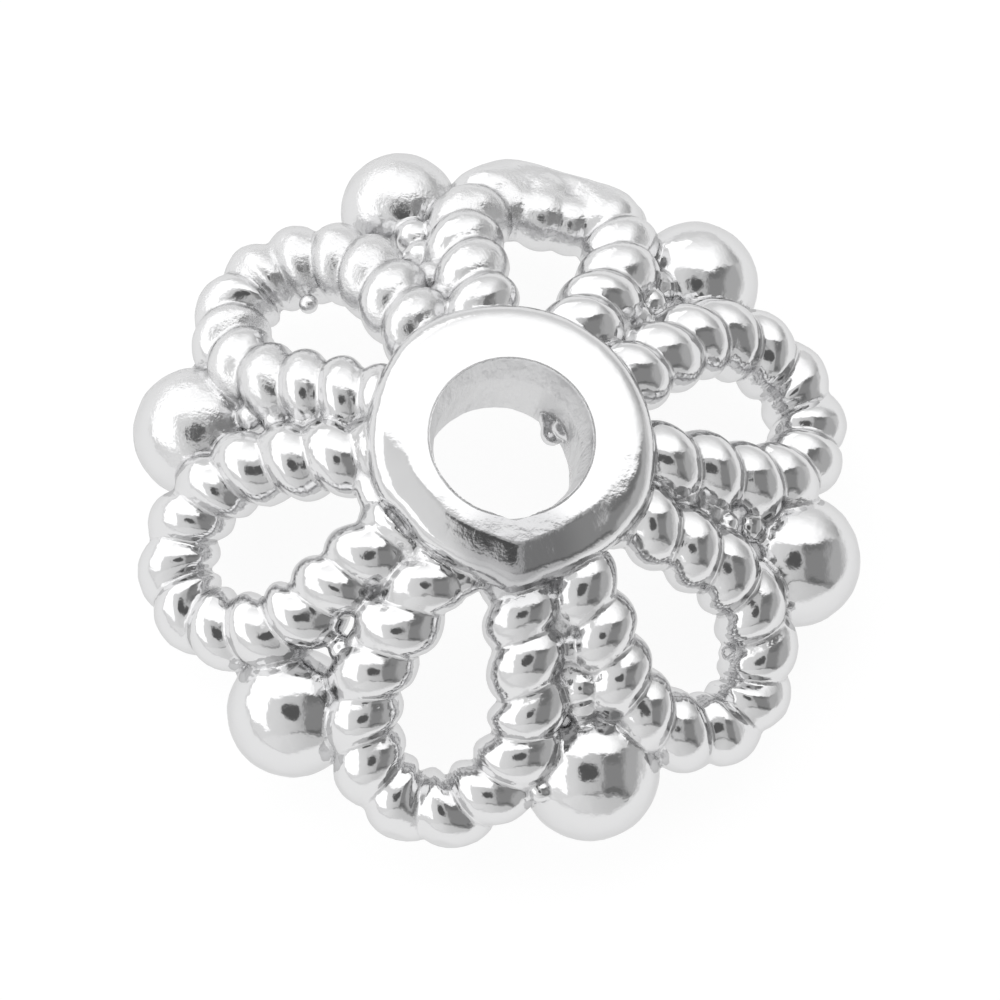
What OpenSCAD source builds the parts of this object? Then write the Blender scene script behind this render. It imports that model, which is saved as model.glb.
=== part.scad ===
// Openwork bead cap: a shallow dome of rope loops round a drilled hub, cast in one piece.
// It stands on its rim balls with the open side down, and the thread runs along Z.

/* [Dome] */
// Radius of the sphere that the loops lie on
dome_r = 5.9; // [5.5:0.1:8]
// Height of that sphere's top, through the middle of the strands
dome_top = 2.9; // [2.7:0.05:3.2]

/* [Loops] */
// Diameter of a rope strand over its turns
strand_d = 1.05; // [0.95:0.05:1.1]
// Angle between a loop's straight leg and the loop's own axis
leg_angle = 21; // [15:1:27]
// Distance from the cap's axis at which the legs come out of the hub
leg_start = 1.7; // [1.5:0.05:1.7]

/* [Rim balls] */
// Mean diameter of the round balls between the loops
ball_d = 1.8; // [1.6:0.05:1.9]

/* [Hub] */
// Outer diameter of the hub
hub_d = 4; // [3.6:0.1:4.4]
// Radius of the hub's round outer edge
hub_edge_r = 0.56; // [0.5:0.02:0.6]
// Height of the hub's top above the rim
hub_top = 3.48; // [3.3:0.02:3.7]
// Height of the hub's underside above the rim
hub_bottom = 1.65; // [1.5:0.05:2]

/* [Thread hole] */
// Diameter of the hole along the axis
bore_d = 2; // [1.6:0.1:2.2]
// Diameter of the hole's flared mouth
mouth_d = 2.26; // [2.2:0.02:2.5]
// Depth of the flare below the hub's top
mouth_depth = 0.5; // [0.3:0.05:0.6]

/* [Hidden] */
$fn = 48;

// The hand-made loops differ a little: a row for each, counter-clockwise from the front one.
// Columns: degrees off its even place, distance of the round end's centre, radius of that end,
// and how many turns of rope it has
LOOPS = [
    [-1.4, 3.41, 1.12, 12],
    [-1.1, 3.38, 1.10, 12],
    [-0.5, 3.42, 1.10, 13],
    [0.6, 3.32, 1.10, 13],
    [1.5, 3.33, 1.06, 13],
    [-0.3, 3.39, 1.10, 13]
];
// Columns: degrees off its even place, distance of the ball's centre, its size against the mean
BALLS = [
    [-0.5, 4.12, 1.06],
    [0.2, 4.20, 1.03],
    [-0.3, 4.23, 0.98],
    [-1.8, 4.33, 0.91],
    [-0.3, 4.13, 1.00],
    [0.0, 4.18, 1.00]
];
ANGLE = 0;
REACH = 1;
END_R = 2;
TURNS = 3;
SIZE = 2;

step_angle = 360 / len(LOOPS);
front = -90;
path_steps = 48;

// Metal that has run into the crease between two strands, and granules on it.
// Columns: azimuth, distance from the axis, radius, height above the dome
GRANULES = [
    [-60, 3.20, 0.24, 0.12],
    [-114, 2.87, 0.36, 0.12],
    [0, 3.30, 0.24, 0.12],
    [178, 3.36, 0.20, 0.08]
];

// The smooth patch where the casting was cut from its sprue, on the loop at the back.
// It takes the place of the turns between these two shares of the loop's length.
gate_loop = 3;
gate_from = 0.37;
gate_to = 0.64;
gate_r = 0.54;
gate_steps = 9;

// The metal that fills the inner side of that loop's round end
fill_r = 0.45;
fill_reach = 4.04;
fill_angles = [-8, 0, 8];

// The cut itself: a flat face of this width, square to this direction
cut_angle = 83.5;
cut_reach = 4.74;
cut_w = 2.5;

// A drip of metal below the hub's front edge
drip_angle = -74;
drip_r = 0.3;
drip_reach = 1.76;
drip_height = 2.3;

// A casting nodule on the wall of the thread hole, at the back right
nodule_angle = 55;
nodule_r = 0.24;
nodule_height = 2.1;

function dome_height(reach) = dome_top - dome_r + sqrt(dome_r * dome_r - reach * reach);

function leg_end(loop) = [
    loop[REACH] - loop[END_R] * sin(leg_angle),
    loop[END_R] * cos(leg_angle)
];
function leg_length(loop) = (leg_end(loop).x - leg_start) / cos(leg_angle);
function end_length(loop) = loop[END_R] * (180 + 2 * leg_angle) * PI / 180;

// A point of the first leg, in plan, at a distance back from its outer end
function leg_point(loop, back) = leg_end(loop) - back * [cos(leg_angle), sin(leg_angle)];

// A point of the round end, in plan, at a distance from where the first leg meets it
function end_point(loop, along) =
    let (turn = 90 + leg_angle - along / loop[END_R] * 180 / PI)
    [loop[REACH] + loop[END_R] * cos(turn), loop[END_R] * sin(turn)];

// A point of the whole loop, in plan: out along one leg, round the end and back
function plan_point(loop, along) =
    let (leg = leg_length(loop), end = end_length(loop))
    along < leg ? leg_point(loop, leg - along)
    : along < leg + end ? end_point(loop, along - leg)
    : let (p = leg_point(loop, along - leg - end)) [p.x, -p.y];

function on_dome(p) = [p.x, p.y, dome_height(norm(p))];

// The loop's path as points on the dome, and the length of the path up to each of them
function loop_path(loop) =
    let (whole = 2 * leg_length(loop) + end_length(loop))
    [for (i = [0:path_steps]) on_dome(plan_point(loop, whole * i / path_steps))];
function lengths(path) = [
    for (i = 0, sum = 0; i < len(path);
         sum = sum + (i + 1 < len(path) ? norm(path[i + 1] - path[i]) : 0), i = i + 1) sum
];

// The point at a share of the path's length
function point_at(path, sums, share) =
    let (
        place = lookup(share * sums[len(sums) - 1], [for (i = [0:len(sums) - 1]) [sums[i], i]]),
        low = min(floor(place), len(path) - 2)
    )
    path[low] + (place - low) * (path[low + 1] - path[low]);

// One loop of rope: its turns lie evenly along the path
module rope_loop(loop, has_gate) {
    path = loop_path(loop);
    sums = lengths(path);
    for (i = [0:loop[TURNS] - 1]) {
        share = (i + 0.5) / loop[TURNS];
        if (!has_gate || share < gate_from || share > gate_to)
            translate(point_at(path, sums, share)) sphere(d = strand_d);
    }
    if (has_gate)
        for (i = [0:gate_steps - 1])
            translate(point_at(path, sums, gate_from + (gate_to - gate_from) * i / (gate_steps - 1)))
                sphere(r = gate_r);
}

module loops() {
    for (k = [0:len(LOOPS) - 1])
        rotate(front + k * step_angle + LOOPS[k][ANGLE]) rope_loop(LOOPS[k], k == gate_loop);
}

// A sphere at a place that is given from the dome
module lump(angle, reach, r, above) {
    rotate(angle) translate([reach, 0, dome_height(reach) + above]) sphere(r = r);
}

// The balls stand between neighbouring loops, all on one plane, and bite into the strands
module balls() {
    for (k = [0:len(BALLS) - 1]) {
        ball_r = ball_d / 2 * BALLS[k][SIZE];
        rotate(front + (k + 0.5) * step_angle + BALLS[k][ANGLE])
            translate([BALLS[k][REACH], 0, ball_r]) sphere(r = ball_r);
    }
}

module granules() {
    for (g = GRANULES) lump(g[0], g[1], g[2], g[3]);
}

module gate_fill() {
    for (off = fill_angles)
        lump(front + gate_loop * step_angle + LOOPS[gate_loop][ANGLE] + off, fill_reach, fill_r, 0);
}

module sprue_cut() {
    rotate(cut_angle) translate([cut_reach, -cut_w / 2, -1]) cube([2, cut_w, 4]);
}

// Half of the hub's section: a fat round edge above and a narrower collar below
module hub_section() {
    edge_x = hub_d / 2 - hub_edge_r;
    edge_z = hub_top - hub_edge_r;
    collar_x = hub_d / 2 - 0.25;
    collar_r = 0.35;
    translate([edge_x, edge_z]) circle(r = hub_edge_r);
    translate([bore_d / 4, hub_bottom + collar_r])
        square([collar_x - bore_d / 4, edge_z - hub_bottom - collar_r]);
    translate([bore_d / 4, hub_bottom]) square([collar_x - collar_r - bore_d / 4, collar_r * 1.2]);
    translate([collar_x - collar_r, hub_bottom + collar_r]) circle(r = collar_r);
    translate([bore_d / 4, edge_z - 0.1]) square([edge_x - bore_d / 4, hub_edge_r + 0.1]);
}

module hub() {
    rotate_extrude() hub_section();
    rotate(drip_angle) translate([drip_reach, 0, drip_height]) sphere(r = drip_r);
}

module thread_hole() {
    translate([0, 0, hub_bottom - 1]) cylinder(d = bore_d, h = hub_top - hub_bottom + 2);
    translate([0, 0, hub_top - mouth_depth])
        cylinder(d1 = bore_d, d2 = mouth_d, h = mouth_depth);
}

// It stands about its own radius out of the wall
module nodule() {
    rotate(nodule_angle) translate([bore_d / 2 + 0.02, 0, nodule_height]) sphere(r = nodule_r);
}

module cap() {
    color("silver") {
        difference() {
            union() {
                hub();
                loops();
                balls();
                granules();
                gate_fill();
            }
            thread_hole();
            sprue_cut();
        }
        nodule();
    }
}

cap();
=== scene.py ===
"""A bead cap: six loops of twisted rope round a drilled hub, cast in one piece and plated."""
import math

import bmesh
import bpy
from mathutils import Matrix, Vector


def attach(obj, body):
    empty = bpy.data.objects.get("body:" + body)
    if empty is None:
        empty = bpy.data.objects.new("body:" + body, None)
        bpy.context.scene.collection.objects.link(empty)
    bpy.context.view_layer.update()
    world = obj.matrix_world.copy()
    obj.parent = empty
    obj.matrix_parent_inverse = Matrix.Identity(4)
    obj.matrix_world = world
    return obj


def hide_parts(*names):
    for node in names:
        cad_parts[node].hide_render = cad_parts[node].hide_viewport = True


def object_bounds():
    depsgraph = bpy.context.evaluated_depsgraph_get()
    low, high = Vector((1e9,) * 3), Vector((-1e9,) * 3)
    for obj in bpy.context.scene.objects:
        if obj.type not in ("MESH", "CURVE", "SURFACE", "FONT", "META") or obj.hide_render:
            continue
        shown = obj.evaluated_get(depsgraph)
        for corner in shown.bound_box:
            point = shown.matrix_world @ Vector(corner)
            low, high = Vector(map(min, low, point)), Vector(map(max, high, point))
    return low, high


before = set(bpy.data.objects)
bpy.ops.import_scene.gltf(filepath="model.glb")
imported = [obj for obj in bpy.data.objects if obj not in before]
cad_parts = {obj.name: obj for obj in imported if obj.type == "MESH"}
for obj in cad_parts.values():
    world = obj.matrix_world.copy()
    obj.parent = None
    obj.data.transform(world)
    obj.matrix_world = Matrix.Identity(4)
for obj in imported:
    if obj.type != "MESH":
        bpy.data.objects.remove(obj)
cad_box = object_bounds()

# The view: the camera looks down on the cap from well above its front loop, and is rolled a
# little, so that the cap's own axis leans to the right in the picture.
CAMERA_AZIMUTH = -95.25
CAMERA_ELEVATION = 70.64
CAMERA_ROLL = -17.06
CAMERA_DISTANCE = 0.18
PICTURE_WIDTH = 0.01375
SENSOR_WIDTH = 36.0


def across_and_up(azimuth, elevation, roll):
    """The directions of the picture's right side, of its top, and of the camera."""
    a, e = math.radians(azimuth), math.radians(elevation)
    towards = Vector((math.cos(a) * math.cos(e), math.sin(a) * math.cos(e), math.sin(e)))
    level = Vector((-math.sin(a), math.cos(a), 0))
    turned = Matrix.Rotation(math.radians(-roll), 3, towards)
    return turned @ level, turned @ towards.cross(level), towards


picture_right, picture_up, to_camera = across_and_up(
    CAMERA_AZIMUTH, CAMERA_ELEVATION, CAMERA_ROLL
)
aim = 0.00018 * picture_right + 0.00025 * picture_up
camera = bpy.data.objects.new("camera", bpy.data.cameras.new("camera"))
camera.matrix_world = Matrix.Translation(aim + CAMERA_DISTANCE * to_camera) @ Matrix(
    (picture_right, picture_up, to_camera)
).transposed().to_4x4()
camera.data.sensor_width = SENSOR_WIDTH
camera.data.lens = SENSOR_WIDTH * CAMERA_DISTANCE / PICTURE_WIDTH
camera.data.clip_start = CAMERA_DISTANCE / 20
camera.data.clip_end = CAMERA_DISTANCE * 100
bpy.context.collection.objects.link(camera)
bpy.context.scene.camera = camera


# The metal: a zinc casting, tumbled and then plated bright silver. The plating copies the grain
# of the casting below it; it is duller down in the crevices and in the thread hole, where the
# tumbling did not reach. Its colour is painted darker in the crevices and between the strands,
# as painted shade, and is darker round the drip.
class Wire:
    """A node's output. Arithmetic on it adds Math nodes."""

    def __init__(self, graph, socket):
        self.graph = graph
        self.socket = socket

    def math(self, operation, *others):
        values = {0: self, **dict(enumerate(others, 1))}
        return self.graph.node("ShaderNodeMath", {"operation": operation}, values)

    def output(self, name):
        return Wire(self.graph, self.socket.node.outputs[name])

    def __add__(self, other):
        return self.math("ADD", other)

    def __sub__(self, other):
        return self.math("SUBTRACT", other)

    def __mul__(self, other):
        return self.math("MULTIPLY", other)

    def __truediv__(self, other):
        return self.math("DIVIDE", other)

    def __rsub__(self, other):
        return self.graph.node("ShaderNodeMath", {"operation": "SUBTRACT"}, {0: other, 1: self})

    __radd__ = __add__
    __rmul__ = __mul__


class Graph:
    """A node tree that is written as Python values."""

    def __init__(self, tree):
        self.tree = tree
        tree.nodes.clear()

    def node(self, kind, settings=None, sockets=None, output=0):
        made = self.tree.nodes.new(kind)
        for name, value in (settings or {}).items():
            setattr(made, name, value)
        for name, value in (sockets or {}).items():
            if isinstance(value, Wire):
                self.tree.links.new(value.socket, made.inputs[name])
            else:
                made.inputs[name].default_value = value
        return Wire(self, made.outputs[output]) if made.outputs else made

    def step(self, value, low, high):
        """0 below low, 1 above high, and smooth between them."""
        return self.node(
            "ShaderNodeMapRange",
            {"interpolation_type": "SMOOTHSTEP"},
            {"Value": value, "From Min": low, "From Max": high},
        )

    def vector(self, operation, *values, output=0):
        return self.node(
            "ShaderNodeVectorMath", {"operation": operation}, dict(enumerate(values)), output
        )

    def noise(self, place, scale, detail):
        sockets = {"Vector": place, "Scale": scale, "Detail": detail}
        return self.node("ShaderNodeTexNoise", None, sockets)

    def dot(self, first, second):
        return self.vector("DOT_PRODUCT", first, second, output="Value")

    def colour(self, share, first, second):
        return self.node(
            "ShaderNodeMix", {"data_type": "RGBA"}, {0: share, 6: first, 7: second}, output=2
        )


# The plating's colour, and the dark grey that is mixed into it as painted shade in the crevices
# and between the strands, and round the drip
PLATING = (0.74, 0.74, 0.745, 1)
SHADE_AND_DRIP_GREY = (0.36, 0.36, 0.37, 1)
# Where the skin is as it was cast: the wall of the thread hole, as distances from the cap's
# axis, round the drip of metal on the hub's front edge, in patches at the back left, and down
# between the strands
HOLE_WALL = (0.00097, 0.00112)
DRIP_PLACE = (0.00041, -0.00155, 0.00335)
DRIP_SKIN = (0.0005, 0.0010)
BACK_LEFT = (-0.64, 0.77, 0)
BACK_LEFT_SKIN = (0.0010, 0.0034)
SKIN_BLUR = 0.00003
# How much of that skin the last three have, and how far the colour is darkened: in the crevices
# and on the drip, and between the strands. In the crevices and between the strands the
# darkening is painted shade.
DRIP_SHARE = 0.15
BACK_LEFT_SHARE = 0.7
HOLLOW_SHARE = 0.5
PAINTED_CREVICE_SHADE_AND_DRIP = 0.5
PAINTED_HOLLOW_SHADE = 0.35
# The textures, in features for each metre: patches of skin, soft ripples and fine grain
PATCH_SCALE = 1400.0
RIPPLE_SCALE = 5000.0
GRAIN_SCALE = 22000.0
MICROMETRE = 0.000001

plating = bpy.data.materials.new("bright_plating")
plating.use_nodes = True
g = Graph(plating.node_tree)
place = g.node("ShaderNodeTexCoord", output="Object")
crevice = g.node("ShaderNodeAttribute", {"attribute_name": "crevice"}, output="Fac")
hollow = g.node("ShaderNodeAttribute", {"attribute_name": "hollow"}, output="Fac")
off_axis = g.vector("LENGTH", g.vector("MULTIPLY", place, (1, 1, 0)), output="Value")
in_hole = g.step(off_axis, HOLE_WALL[0] - SKIN_BLUR, HOLE_WALL[0])
in_hole = in_hole * (1 - g.step(off_axis, HOLE_WALL[1], HOLE_WALL[1] + SKIN_BLUR))
off_drip = g.vector("DISTANCE", place, DRIP_PLACE, output="Value")
patches = g.noise(place, PATCH_SCALE, 1.0)
back_left = g.step(g.dot(place, BACK_LEFT), *BACK_LEFT_SKIN) * g.step(patches, 0.25, 0.6)
near_drip = 1 - g.step(off_drip, *DRIP_SKIN)
as_cast = in_hole.math("MAXIMUM", DRIP_SHARE * near_drip)
as_cast = as_cast.math("MAXIMUM", BACK_LEFT_SHARE * back_left)
as_cast = as_cast.math("MAXIMUM", HOLLOW_SHARE * hollow)
# The texture of the hole's wall is drawn out along the hole
drawn = g.node("ShaderNodeCombineXYZ", None, {0: 1.0, 1: 1.0, 2: 1 - 0.6 * in_hole})
drawn = g.vector("MULTIPLY", place, drawn)
ripple = g.noise(drawn, RIPPLE_SCALE, 3.0)
grain = g.noise(drawn, GRAIN_SCALE, 2.0)
# Painted shade: the colour is darkened in the crevices and between the strands, and it is darkened
# round the drip as well
painted_shade_and_drip = PAINTED_CREVICE_SHADE_AND_DRIP * g.step(crevice, 0.15, 1.0).math("MAXIMUM", near_drip)
painted_shade_and_drip = painted_shade_and_drip.math("MAXIMUM", PAINTED_HOLLOW_SHADE * hollow)
bump = g.node(
    "ShaderNodeBump",
    None,
    {
        "Strength": 1.0,
        "Distance": MICROMETRE,
        "Height": (6.0 + 14.0 * as_cast + 20.0 * in_hole) * ripple
        + (0.6 + 3.0 * crevice + 9.0 * as_cast) * grain,
    },
)
metal = g.node(
    "ShaderNodeBsdfPrincipled",
    None,
    {
        "Base Color": g.colour(painted_shade_and_drip, PLATING, SHADE_AND_DRIP_GREY),
        "Metallic": 1.0,
        "Specular Tint": (0.8, 0.8, 0.8, 1),
        "Roughness": 0.07 + 0.06 * grain + 0.25 * crevice.math("MAXIMUM", as_cast),
        "Normal": bump,
    },
)
g.node("ShaderNodeOutputMaterial", None, {"Surface": metal})

# The rope loops: six teardrops of one-start rope that lie on a sphere, their legs coming out of
# the hub. They are worked in millimetres, as all of the pattern is, and each turn is a
# right-handed rib.
DOME_R = 5.9
DOME_TOP = 2.9
ROPE_R = 0.565
GROOVE_DEPTH = 0.145
LEG_ANGLE = math.radians(21)
LEG_START = 1.7
LEG_STEPS = 12
END_STEPS = 40
FRONT = -90
STEP_ANGLE = 60
# Degrees off its even place, distance of the round end's centre, radius of that end, turns of
# rope, the share of a turn that it starts with; counter-clockwise from the front loop
LOOPS = (
    (-1.4, 3.41, 1.12, 12.2, -0.12),
    (-1.1, 3.38, 1.10, 12.0, -0.05),
    (-0.5, 3.42, 1.10, 12.1, 0.0),
    (0.6, 3.32, 1.10, 12.2, -0.10),
    (1.5, 3.33, 1.06, 12.8, -0.46),
    (-0.3, 3.39, 1.10, 12.8, -0.45),
)
# The smooth patch on the back loop, where the casting was cut from its sprue, along its length
GATE_LOOP = 3
GATE_SPAN = (2.85, 4.95)


def on_dome(reach, azimuth, above=0.0):
    """A point at a distance from the axis, at an azimuth in degrees, on the ropes' sphere."""
    a = math.radians(azimuth)
    height = DOME_TOP - DOME_R + math.sqrt(DOME_R**2 - reach**2)
    return Vector((reach * math.cos(a), reach * math.sin(a), height + above))


def loop_points(reach, end_r, azimuth):
    """A loop's centre line: out along one leg, round the end and back along the other."""
    leg_end = Vector((reach - end_r * math.sin(LEG_ANGLE), end_r * math.cos(LEG_ANGLE)))
    run = leg_end.x - LEG_START
    leg_foot = leg_end - Vector((run, run * math.tan(LEG_ANGLE)))
    leg = [leg_foot.lerp(leg_end, i / LEG_STEPS) for i in range(LEG_STEPS)]
    half_turn = math.pi / 2 + LEG_ANGLE
    end = [
        Vector((reach + end_r * math.cos(t), end_r * math.sin(t)))
        for t in (half_turn * (1 - 2 * i / END_STEPS) for i in range(END_STEPS + 1))
    ]
    back = [Vector((p.x, -p.y)) for p in reversed(leg)]
    return [
        on_dome(p.length, azimuth + math.degrees(math.atan2(p.y, p.x))) for p in leg + end + back
    ]


def new_tree(name, inputs):
    """A Geometry Nodes tree with the sockets of a modifier, and its named inputs as wires."""
    tree = bpy.data.node_groups.new(name, "GeometryNodeTree")
    tree.interface.new_socket("Geometry", in_out="INPUT", socket_type="NodeSocketGeometry")
    for entry in inputs:
        tree.interface.new_socket(entry, in_out="INPUT", socket_type="NodeSocketFloat")
    tree.interface.new_socket("Geometry", in_out="OUTPUT", socket_type="NodeSocketGeometry")
    graph = Graph(tree)
    return graph, graph.node("NodeGroupInput")


def finish_tree(graph, geometry):
    """The tree's last nodes: real geometry, in the metal."""
    real = graph.node("GeometryNodeRealizeInstances", None, {0: geometry})
    dressed = graph.node("GeometryNodeSetMaterial", None, {"Geometry": real, "Material": plating})
    graph.node("NodeGroupOutput", None, {0: dressed})


def add_tree(obj, tree, **values):
    """Puts a tree on an object as a modifier, with values for its named inputs."""
    modifier = obj.modifiers.new(tree.name, "NODES")
    modifier.node_group = tree
    for entry in tree.interface.items_tree:
        if entry.in_out == "INPUT" and entry.name in values:
            modifier[entry.identifier] = values[entry.name]


def evaluated_mesh(obj):
    """The plain mesh that an object's modifiers make of it."""
    bpy.context.view_layer.update()
    return bpy.data.meshes.new_from_object(
        obj.evaluated_get(bpy.context.evaluated_depsgraph_get())
    )


def grown(obj, tree, **values):
    """The plain mesh that a tree makes of an object, which is then gone."""
    add_tree(obj, tree, **values)
    mesh = evaluated_mesh(obj)
    bpy.data.objects.remove(obj)
    return mesh


def stored(graph, geometry, name, kind, value):
    """Keeps a value on the points of a geometry."""
    return graph.node(
        "GeometryNodeStoreNamedAttribute",
        {"data_type": kind, "domain": "POINT"},
        {"Geometry": geometry, "Name": name, "Value": value},
    )


def kept(graph, name, kind):
    return graph.node("GeometryNodeInputNamedAttribute", {"data_type": kind}, {"Name": name})


g, start = new_tree("rope", ("Radius", "Pitch", "Phase", "Depth", "Smooth_from", "Smooth_to"))
RING_SPACING = 0.04
RING_SIDES = 44
# How uneven the rope is: in features for each millimetre, turns, and share of its radius
UNEVEN_SCALE = 1.3
UNEVEN_TURNS = 0.3
UNEVEN_RADIUS = (0.97, 0.05)
# How far the smooth patch blends into the turns at each end
PATCH_BLEND = 0.15
line = g.node(
    "GeometryNodeResampleCurve",
    {"mode": "LENGTH"},
    {"Curve": start.output("Geometry"), "Length": RING_SPACING},
)
line = stored(g, line, "along", "FLOAT", g.node("GeometryNodeSplineParameter", output="Length"))
line = stored(g, line, "middle", "FLOAT_VECTOR", g.node("GeometryNodeInputPosition"))
line = stored(g, line, "forward", "FLOAT_VECTOR", g.node("GeometryNodeInputTangent"))
ring = g.node("GeometryNodeCurvePrimitiveCircle", None, {"Resolution": RING_SIDES, "Radius": 0.3})
tube = g.node(
    "GeometryNodeCurveToMesh", None, {"Curve": line, "Profile Curve": ring, "Fill Caps": True}
)
along = kept(g, "along", "FLOAT")
middle, forward = kept(g, "middle", "FLOAT_VECTOR"), kept(g, "forward", "FLOAT_VECTOR")
upwards = g.vector("NORMALIZE", g.vector("SUBTRACT", middle, (0, 0, DOME_TOP - DOME_R)))
sideways = g.vector("CROSS_PRODUCT", forward, upwards)
outwards = g.vector("NORMALIZE", g.vector("SUBTRACT", g.node("GeometryNodeInputPosition"), middle))
around = g.dot(outwards, sideways).math("ARCTAN2", g.dot(outwards, upwards)) / math.tau
unevenness = g.noise(middle, UNEVEN_SCALE, 1.0)
turns = along / start.output("Pitch") + start.output("Phase") - around
turns = turns + UNEVEN_TURNS * (unevenness - 0.5)
off_crest = 2 * turns.math("FRACT") - 1
first, last = start.output("Smooth_from"), start.output("Smooth_to")
in_patch = g.step(along, first - PATCH_BLEND, first + PATCH_BLEND)
in_patch = in_patch * (1 - g.step(along, last - PATCH_BLEND, last + PATCH_BLEND))
radius = start.output("Radius") * (UNEVEN_RADIUS[0] + UNEVEN_RADIUS[1] * unevenness) - (
    start.output("Depth") * off_crest * off_crest * (1 - in_patch)
)
spoke = g.node("ShaderNodeVectorMath", {"operation": "SCALE"}, {0: outwards, "Scale": radius})
rib = g.vector("ADD", middle, spoke)
finish_tree(g, g.node("GeometryNodeSetPosition", None, {"Geometry": tube, "Position": rib}))
rope_tree = g.tree

pattern = []
for k, (off, reach, end_r, turn_count, phase) in enumerate(LOOPS):
    curve = bpy.data.curves.new(f"loop_{k}", "CURVE")
    curve.dimensions = "3D"
    spline = curve.splines.new("POLY")
    points = loop_points(reach, end_r, FRONT + k * STEP_ANGLE + off)
    spline.points.add(len(points) - 1)
    for point, where in zip(spline.points, points):
        point.co = (*where, 1)
    loop = bpy.data.objects.new(f"loop_{k}", curve)
    bpy.context.collection.objects.link(loop)
    smooth_from, smooth_to = GATE_SPAN if k == GATE_LOOP else (-2.0, -1.0)
    pattern.append(
        grown(
            loop,
            rope_tree,
            Radius=ROPE_R,
            Pitch=spline.calc_length() / turn_count,
            Phase=phase,
            Depth=GROOVE_DEPTH,
            Smooth_from=smooth_from,
            Smooth_to=smooth_to,
        )
    )

# The hub: a turned ring with a flat top that falls off a little towards its round edge, a
# narrower collar below it and the thread hole through it, whose mouth flares. In front the edge
# is a low bevel, and a drip of metal pulls it and the hole's near rim outwards.
HUB_R = 2.0
HUB_TOP = 3.475
HUB_BOTTOM = 1.65
EDGE_R = 0.36
FALL_FROM = 1.48
FALL_TILT = 8
BEVEL_TILT = 22
BEVEL_EDGE_R = 0.33
COLLAR_R = 1.72
BORE_R = 1.0
MOUTH_R = 1.13
MOUTH_DEPTH = 0.5
HUB_STEPS = 192
# How the outline strays from round: azimuth, how far out
HUB_OUTLINE = (
    (-180, -0.06),
    (-150, -0.08),
    (-132, -0.18),
    (-112, -0.16),
    (-91, -0.12),
    (-76, 0.02),
    (-62, -0.07),
    (-47, -0.08),
    (-29, -0.02),
    (-11, 0.02),
    (20, -0.02),
    (100, 0.0),
    (138, 0.05),
    (180, -0.06),
)
# Between which azimuths the bevel begins, is whole, and has ended
BEVEL_SPAN = (-172, -150, -42, -24)
DRIP_AZIMUTH = -76
# How far the drip pulls the edge out, the edge down and the hole's rim out, and how wide each
# pull is, in degrees to either side
DRIP_OUT = (0.10, 22)
DRIP_DOWN = (0.10, 40)
DRIP_MOUTH = (0.07, 16)
# The pull on the edge begins at this depth and is whole this much lower; the pull on the rim
# ends at its own depth
DRIP_FROM = 0.2
DRIP_RUN = 0.6
DRIP_MOUTH_DEPTH = 0.475
# Where the round of the edge turns in to the collar, in degrees
EDGE_UNDERCUT = -52
# How far the bottom of the thread hole lies off the axis
HOLE_LEAN = (-0.05, -0.01)


def arc(centre_x, centre_z, radius, first, last, steps):
    """Points of an arc in the hub's section, between two angles in degrees."""
    angles = (math.radians(first + (last - first) * i / steps) for i in range(steps + 1))
    return [(centre_x + radius * math.cos(a), centre_z + radius * math.sin(a)) for a in angles]


def eased(value, low, high):
    """0 below low, 1 above high, and smooth between them."""
    share = max(0.0, min(1.0, (value - low) / (high - low)))
    return share * share * (3 - 2 * share)


def hub_section(bevelled):
    """The ring's section as a closed outline, counter-clockwise from the foot of the bore."""
    collar_edge = 0.3
    outline = [(BORE_R, HUB_BOTTOM + 0.1), (BORE_R + 0.1, HUB_BOTTOM)]
    outline += arc(COLLAR_R - collar_edge, HUB_BOTTOM + collar_edge, collar_edge, -90, 0, 8)
    tilt = FALL_TILT + (BEVEL_TILT - FALL_TILT) * bevelled
    slope = math.tan(math.radians(tilt))
    edge_r = EDGE_R + (BEVEL_EDGE_R - EDGE_R) * bevelled
    edge_x = HUB_R - edge_r
    run = edge_x + edge_r * math.sin(math.radians(tilt)) - FALL_FROM
    edge_z = HUB_TOP - run * slope - edge_r * math.cos(math.radians(tilt))
    outline += arc(edge_x, edge_z, edge_r, EDGE_UNDERCUT, 90 - tilt, 24)
    outline += [(FALL_FROM, HUB_TOP), ((FALL_FROM + MOUTH_R) / 2, HUB_TOP)]
    return outline + [(MOUTH_R, HUB_TOP), (BORE_R, HUB_TOP - MOUTH_DEPTH)]


def nearness(azimuth, centre, width):
    """1 at an azimuth, falling evenly to 0 at a width away from it."""
    return max(0.0, 1 - abs((azimuth - centre + 180) % 360 - 180) / width)


def edge_pull(azimuth, pull, width):
    """How far the drip pulls the edge, smoothly."""
    return pull * eased(nearness(azimuth, DRIP_AZIMUTH, width), 0, 1)


def strayed(azimuth):
    """How far the outline lies from round, eased from each row of the table to the next."""
    stray = HUB_OUTLINE[0][1]
    for (first, low), (last, high) in zip(HUB_OUTLINE, HUB_OUTLINE[1:]):
        stray += (high - low) * eased(azimuth, first, last)
    return stray


def mouth_pull(azimuth):
    """How far the drip pulls the rim of the hole out of round."""
    pull, width = DRIP_MOUTH
    return pull * nearness(azimuth, DRIP_AZIMUTH, width)


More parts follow.
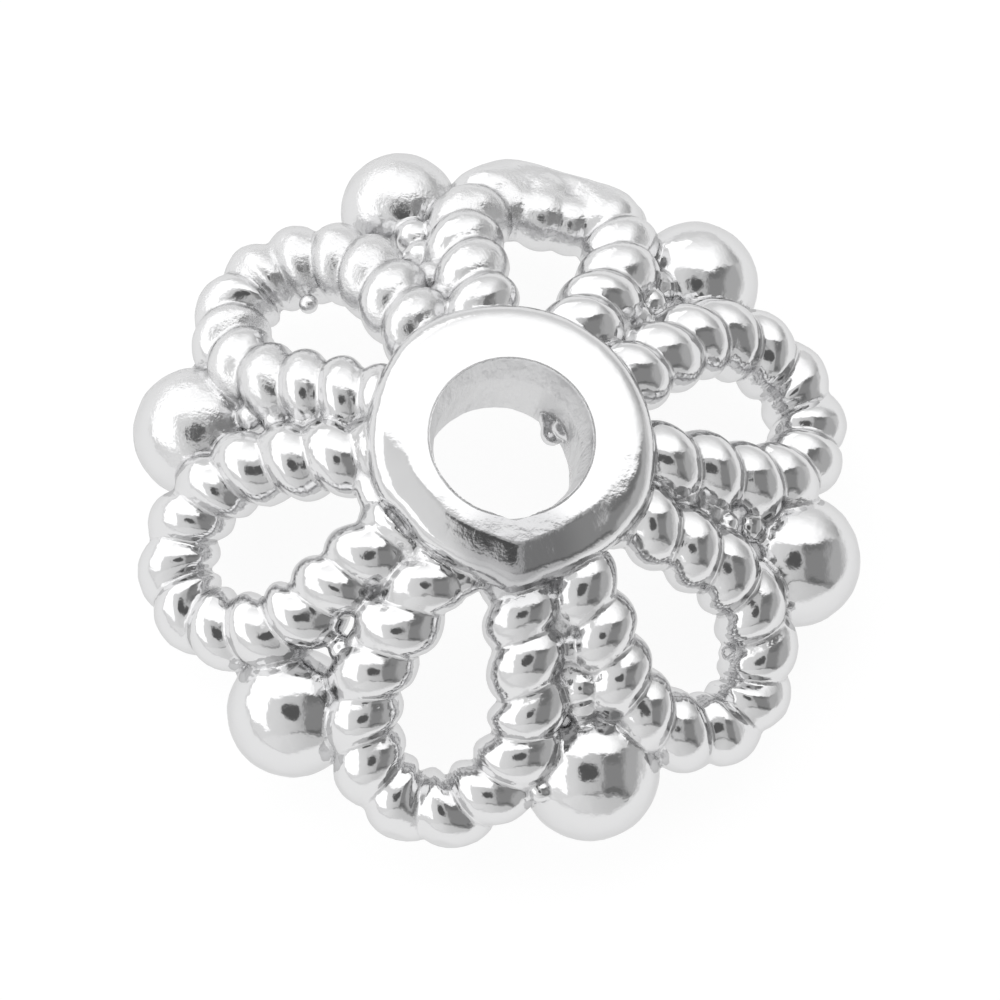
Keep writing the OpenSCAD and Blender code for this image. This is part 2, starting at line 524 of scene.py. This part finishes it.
hub = bmesh.new()
rings = []
for i in range(HUB_STEPS):
    azimuth = 360 * i / HUB_STEPS - 180
    a = math.radians(azimuth)
    stray = strayed(azimuth)
    bevelled = eased(azimuth, *BEVEL_SPAN[:2]) * (1 - eased(azimuth, *BEVEL_SPAN[2:]))
    ring = []
    for r, z in hub_section(bevelled):
        share = (r - BORE_R) / (HUB_R - BORE_R)
        low = max(0.0, min(1.0, (HUB_TOP - DRIP_FROM - z) / DRIP_RUN)) * share
        r += share * stray + edge_pull(azimuth, *DRIP_OUT) * low
        in_mouth = max(0.0, z - HUB_TOP + DRIP_MOUTH_DEPTH) / DRIP_MOUTH_DEPTH
        r += mouth_pull(azimuth) * (1 - share) * in_mouth
        z -= edge_pull(azimuth, *DRIP_DOWN) * low
        lean = (1 - share) * (HUB_TOP - z) / (HUB_TOP - HUB_BOTTOM)
        off_x, off_y = (lean * off for off in HOLE_LEAN)
        ring.append(hub.verts.new((r * math.cos(a) + off_x, r * math.sin(a) + off_y, z)))
    rings.append(ring)
for i, ring in enumerate(rings):
    following = rings[(i + 1) % HUB_STEPS]
    for j in range(len(ring)):
        j2 = (j + 1) % len(ring)
        hub.faces.new((ring[j], following[j], following[j2], ring[j2]))
bmesh.ops.recalc_face_normals(hub, faces=hub.faces)
hub_mesh = bpy.data.meshes.new("hub")
hub.to_mesh(hub_mesh)
hub.free()
pattern.append(hub_mesh)

# The rim balls and the small lumps: a round ball stands between each two loops and bites into
# their strands. Casting metal has run into the creases between the strands, and left granules
# there, on the gate and in the hole.
# Degrees off its even place, distance of the ball's centre, radius
BALLS = (
    (-0.5, 4.12, 0.950),
    (0.2, 4.20, 0.922),
    (-0.3, 4.23, 0.878),
    (-1.8, 4.33, 0.815),
    (-0.3, 4.13, 0.896),
    (0.0, 4.18, 0.896),
)
BALL_FOOT = 0.004
# Azimuth, distance from the axis, height above the dome, radius
GRANULES = (
    (-60.0, 3.24, 0.10, 0.27),
    (-60.0, 3.40, -0.02, 0.26),
    (-60.0, 3.05, 0.00, 0.26),
    (-60.0, 2.72, 0.04, 0.26),
    (-65.0, 2.40, 0.05, 0.17),
    (-60.5, 2.42, 0.12, 0.18),
    (-56.0, 2.42, 0.08, 0.17),
    (-71.5, 4.40, 0.50, 0.15),
    (-116.0, 2.83, 0.12, 0.33),
    (-115.5, 3.13, 0.08, 0.25),
    (-119.0, 3.34, 0.02, 0.20),
    (-117.0, 2.44, 0.05, 0.24),
    (-1.3, 3.16, 0.10, 0.16),
    (0.9, 3.47, -0.03, 0.22),
    (0.3, 2.85, -0.06, 0.24),
    (0.0, 2.50, 0.00, 0.22),
    (177.5, 3.45, -0.08, 0.24),
    (178.8, 3.10, -0.06, 0.24),
    (179.0, 2.75, -0.04, 0.24),
    (179.0, 2.45, 0.00, 0.22),
    (63.4, 3.62, -0.10, 0.24),
    (61.8, 3.28, -0.08, 0.24),
    (61.5, 2.90, -0.06, 0.24),
    (60.0, 2.50, 0.00, 0.22),
    (119.0, 3.70, -0.12, 0.26),
    (120.0, 3.30, -0.10, 0.26),
    (120.5, 2.90, -0.06, 0.24),
    (120.5, 2.50, 0.00, 0.22),
    (147.2, 3.60, -0.12, 0.14),
    (-24.3, 3.90, -0.20, 0.14),
    (98.0, 4.34, 0.04, 0.46),
    (92.0, 4.22, 0.06, 0.46),
    (85.0, 4.22, 0.02, 0.45),
    (98.5, 4.06, 0.00, 0.45),
    (86.0, 3.98, -0.06, 0.42),
    (92.0, 3.98, -0.04, 0.46),
    (77.5, 4.34, -0.04, 0.40),
)
# A knot of metal on the wall of the thread hole: place and radius
NODULES = (
    ((0.54, 0.84, 2.15), 0.19),
    ((0.58, 0.66, 2.10), 0.17),
    ((0.72, 0.72, 2.30), 0.17),
    ((0.68, 0.84, 2.42), 0.13),
    ((0.81, 0.68, 2.28), 0.15),
)
# The fillet of metal along the foot of the hub at the front left: the azimuths that it runs
# between, its distance from the axis, height and radius
FILLET_FROM, FILLET_TO = -162, -94
FILLET_REACH = 1.83
FILLET_Z = 2.68
FILLET_R = 0.30

lumps = [(Vector(where), radius) for where, radius in NODULES]
for azimuth in range(FILLET_FROM, FILLET_TO, 4):
    a = math.radians(azimuth)
    where = Vector((FILLET_REACH * math.cos(a), FILLET_REACH * math.sin(a), FILLET_Z))
    lumps.append((where, FILLET_R))
lumps += [(on_dome(reach, azimuth, above), r) for azimuth, reach, above, r in GRANULES]
for k, (off, reach, ball_r) in enumerate(BALLS):
    a = math.radians(FRONT + (k + 0.5) * STEP_ANGLE + off)
    centre = Vector((reach * math.cos(a), reach * math.sin(a), BALL_FOOT + ball_r))
    lumps.append((centre, ball_r))

g, start = new_tree("lumps", ())
LUMP_ROUNDS = 5
lump = g.node("GeometryNodeMeshIcoSphere", None, {"Radius": 1.0, "Subdivisions": LUMP_ROUNDS})
finish_tree(
    g,
    g.node(
        "GeometryNodeInstanceOnPoints",
        None,
        {"Points": start.output("Geometry"), "Instance": lump, "Scale": kept(g, "size", "FLOAT")},
    ),
)
spots = bpy.data.meshes.new("lumps")
spots.from_pydata([where for where, _ in lumps], [], [])
spots.attributes.new("size", "FLOAT", "POINT").data.foreach_set("value", [r for _, r in lumps])
holder = bpy.data.objects.new("lumps", spots)
bpy.context.collection.objects.link(holder)
pattern.append(grown(holder, g.tree))

# The casting: all of these forms are one piece of metal. They are fused, the sprue is cut off
# and the creases fill a little, as cast and plated metal does. The skin is wavy, and its
# crevices and hollows are marked, for the plating's roughness and for the painted shade in its
# colour. Then it is brought from millimetres to size.
FUSE_GRAIN = 0.03
SOFTENING = 4
MOST_TRIANGLES = 190000
MILLIMETRE = 0.001
# The cut's direction, its distance from the axis and half of its width
CUT_AZIMUTH = 83.5
CUT_REACH = 4.67
CUT_HALF_WIDTH = 1.25
# The gate is tumbled smooth between these azimuths, outside this distance from the axis
GATE_AZIMUTHS = (73, 79, 97, 103)
GATE_REACH = 3.9
GATE_BLEND = 0.15
GATE_SOFTENING = 30
# The part of the hub that stays crisp: within this distance from the axis, above this height.
# Its top is made flat again from just outside the mouth, where it is nearly at its height
CRISP_R = 1.38
CRISP_Z = 2.90
FLAT_WITHIN = 0.06
MOUTH_EDGE = 0.02
SHARP_ANGLE = math.radians(36)
# The unevenness of the skin, in features for each millimetre: all over, and in the hollows
WAVE_SCALE = 2.4
PIT_SCALE = 9.0
KNOB_SCALE = 6.5
# The turned top is smoother than the rest by this share, from its height and over this blend
TURNED_SMOOTHER = 0.7
TURNED_BLEND = 0.3
# How widely the skin is evened to find its crevices and its hollows, in rounds
CREVICE_ROUNDS = 12
HOLLOW_ROUNDS = 70

joined = bmesh.new()
for mesh in pattern:
    joined.from_mesh(mesh)
casting = bpy.data.meshes.new("cap")
joined.to_mesh(casting)
joined.free()
cap = bpy.data.objects.new("cap_casting", casting)
bpy.context.collection.objects.link(cap)


def apply_modifiers(obj):
    """Gives an object the mesh that its modifiers make of it, and clears them."""
    obj.data = evaluated_mesh(obj)
    obj.modifiers.clear()


fuse = cap.modifiers.new("fuse", "REMESH")
fuse.mode = "VOXEL"
fuse.voxel_size = FUSE_GRAIN
apply_modifiers(cap)
cut_a = math.radians(CUT_AZIMUTH)
cut_out = Vector((math.cos(cut_a), math.sin(cut_a), 0))
cut_across = Vector((-math.sin(cut_a), math.cos(cut_a), 0))
soft = cap.vertex_groups.new(name="soft")
gate = cap.vertex_groups.new(name="gate")
for v in cap.data.vertices:
    over = v.co.dot(cut_out) - CUT_REACH
    if over > 0 and abs(v.co.dot(cut_across)) < CUT_HALF_WIDTH:
        v.co -= over * cut_out
    reach, azimuth = v.co.xy.length, math.degrees(math.atan2(v.co.y, v.co.x))
    if v.co.z < CRISP_Z or reach > CRISP_R:
        soft.add((v.index,), 1.0, "REPLACE")
    elif v.co.z > HUB_TOP - FLAT_WITHIN and reach > MOUTH_R + mouth_pull(azimuth) - MOUTH_EDGE:
        v.co.z = HUB_TOP
    if reach > GATE_REACH and GATE_AZIMUTHS[0] < azimuth < GATE_AZIMUTHS[3]:
        in_gate = eased(azimuth, *GATE_AZIMUTHS[:2]) * (1 - eased(azimuth, *GATE_AZIMUTHS[2:]))
        in_gate *= eased(reach, GATE_REACH, GATE_REACH + GATE_BLEND)
        gate.add((v.index,), in_gate, "REPLACE")
for group, rounds in (("soft", SOFTENING), ("gate", GATE_SOFTENING)):
    soften = cap.modifiers.new(group, "SMOOTH")
    soften.iterations = rounds
    soften.vertex_group = group
apply_modifiers(cap)
reduce = cap.modifiers.new("reduce", "DECIMATE")
reduce.ratio = min(1.0, MOST_TRIANGLES / (2 * len(cap.data.polygons)))
apply_modifiers(cap)
cap.data.shade_smooth()

g, start = new_tree("skin", ("Waves", "Pits", "Knobs", "Crevice", "Hollow", "Turned_from"))
where = g.node("GeometryNodeInputPosition")
height = g.dot(where, (0, 0, 1))
normal = g.node("GeometryNodeInputNormal")
marked = start.output("Geometry")
shares = {}
for name, label, rounds in (
    ("crevice", "Crevice", CREVICE_ROUNDS),
    ("hollow", "Hollow", HOLLOW_ROUNDS),
):
    evened = g.node(
        "GeometryNodeBlurAttribute",
        {"data_type": "FLOAT_VECTOR"},
        {"Value": where, "Iterations": rounds},
    )
    depth = g.dot(g.vector("SUBTRACT", evened, where), normal)
    shares[name] = g.step(depth, 0.0, start.output(label))
    marked = stored(g, marked, name, "FLOAT", shares[name])
waves = g.noise(where, WAVE_SCALE, 2.0) - 0.5
pits = g.noise(where, PIT_SCALE, 1.0) - 0.5
knobs = g.noise(where, KNOB_SCALE, 1.0) - 0.5
rise = waves * start.output("Waves") + pits * start.output("Pits")
rise = rise + knobs * shares["hollow"] * start.output("Knobs")
turned_from = start.output("Turned_from")
rise = rise * (1 - TURNED_SMOOTHER * g.step(height, turned_from, turned_from + TURNED_BLEND))
offset = g.node("ShaderNodeVectorMath", {"operation": "SCALE"}, {0: normal, "Scale": rise})
finish_tree(g, g.node("GeometryNodeSetPosition", None, {"Geometry": marked, "Offset": offset}))
add_tree(
    cap, g.tree, Waves=0.035, Pits=0.010, Knobs=0.07, Crevice=0.03, Hollow=0.07, Turned_from=3.1
)
apply_modifiers(cap)
cap.data.transform(Matrix.Scale(MILLIMETRE, 4))
for v in cap.data.vertices:
    v.co = [max(low, min(high, x)) for x, low, high in zip(v.co, *cad_box)]
cap.data.shade_smooth()
cap.data.set_sharp_from_angle(angle=SHARP_ANGLE)
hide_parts("cap")
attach(cap, "root")

# The floor: a plain white opal sheet, lit from below where the cap lies, so that it shows pure
# white through the openings; further out it is pale grey.
FLOOR_R = 0.5
FLOOR_GLOW = 0.90
LIT_R = 0.012
DIM_R = 0.03

opal = bpy.data.materials.new("opal_sheet")
opal.use_nodes = True
g = Graph(opal.node_tree)
off_centre = g.vector("LENGTH", g.node("ShaderNodeTexCoord", output="Object"), output="Value")
lit = 1 - g.step(off_centre, LIT_R, DIM_R)
sheet = g.node(
    "ShaderNodeBsdfPrincipled",
    None,
    {
        "Base Color": (0.15, 0.15, 0.15, 1),
        "Roughness": 0.9,
        "Specular IOR Level": 0.0,
        "Emission Color": g.colour(lit, (0.75, 0.75, 0.75, 1), (1, 1, 1, 1)),
        "Emission Strength": FLOOR_GLOW,
    },
)
g.node("ShaderNodeOutputMaterial", None, {"Surface": sheet})
disc = bmesh.new()
bmesh.ops.create_circle(disc, cap_ends=True, segments=64, radius=FLOOR_R)
floor_mesh = bpy.data.meshes.new("floor")
disc.to_mesh(floor_mesh)
disc.free()
floor_mesh.materials.append(opal)
floor = bpy.data.objects.new("floor", floor_mesh)
bpy.context.collection.objects.link(floor)

# The light: a wide white panel stands above and behind the cap, and a white window at its left.
# The room on the camera's side is grey, darker at its right, with a pale table below, and the
# dark shapes of the camera and of what stands beside it.
PANEL = 1.45
WINDOW = 1.5
LEFT_WALL = 0.88
RIGHT_WALL = 0.50
LEFT_TABLE = 0.95
RIGHT_TABLE = 0.68
PANEL_TOP = 0.80
CAMERA_SHADE = 0.11
# The dark shapes beside the camera: right from and to and its blur, up from and to and its
# blur, brightness
SHAPES = (
    (0.36, 0.84, 0.07, -0.58, 0.80, 0.04, 0.29),
    (0.38, 0.78, 0.10, 0.24, 0.80, 0.08, 0.20),
    (0.42, 0.78, 0.10, -0.62, -0.46, 0.05, 0.17),
    (-0.10, 0.80, 0.10, -0.63, -0.57, 0.03, 0.34),
)

room = bpy.data.worlds.new("room")
room.use_nodes = True
bpy.context.scene.world = room
g = Graph(room.node_tree)
direction = g.node("ShaderNodeTexCoord", output="Generated")
right, up, near = (g.dot(direction, axis) for axis in (picture_right, picture_up, to_camera))
pitch = up.math("ARCTAN2", near)
swing = right.math("ARCTAN2", near)


def past(angle, first, last):
    """0 where an angle is below the first one, in degrees, and 1 where it is above the last."""
    return g.step(angle, math.radians(first), math.radians(last))


def between(value, low, high, blur):
    """1 where a value lies between two others, with blurred ends."""
    return g.step(value, low - blur, low + blur) * (1 - g.step(value, high - blur, high + blur))


def layered(below, mask, above):
    """One brightness, and another where a mask is 1."""
    return below * (1 - mask) + above * mask


off_camera = (right * right + up * up).math("SQRT")
rightwards = g.step(right, -0.7, 0.7)
table = layered(LEFT_TABLE, rightwards, RIGHT_TABLE)
glow = layered(LEFT_WALL, rightwards, RIGHT_WALL)
for left, far_right, side_blur, low, high, blur, shade in SHAPES:
    shape = between(right, left, far_right, side_blur) * between(up, low, high, blur)
    glow = layered(glow, shape, shade)
camera_shape = (1 - g.step(off_camera, 0.20, 0.31)) * g.step(near, 0, 0.1)
glow = layered(glow, camera_shape, CAMERA_SHADE)
glow = layered(glow, 1 - g.step(up, -0.66, -0.62), table)
glow = layered(glow, 1 - g.step(near, -0.10, 0.12), table)
panel_glow = layered(PANEL, past(pitch, 50, 110), PANEL_TOP)
panel_glow = panel_glow * (1 - 0.4 * g.step(right, 0.45, 0.85))
glow = layered(glow, g.step(up, 0.44, 0.52), panel_glow)
window = (1 - past(swing, -44, -41)) * past(swing, -118, -112) * past(pitch, -42, -38)
glow = layered(glow, window, WINDOW)
light = g.node("ShaderNodeBackground", None, {"Color": (1, 1, 1, 1), "Strength": glow})
plain = g.node("ShaderNodeBackground", None, {"Color": (1, 1, 1, 1), "Strength": 1.0})
seen = g.node("ShaderNodeLightPath", output="Is Camera Ray")
mixed = g.node("ShaderNodeMixShader", None, {0: seen, 1: light, 2: plain})
g.node("ShaderNodeOutputWorld", None, {"Surface": mixed})
bpy.context.scene.view_settings.view_transform = "Standard"
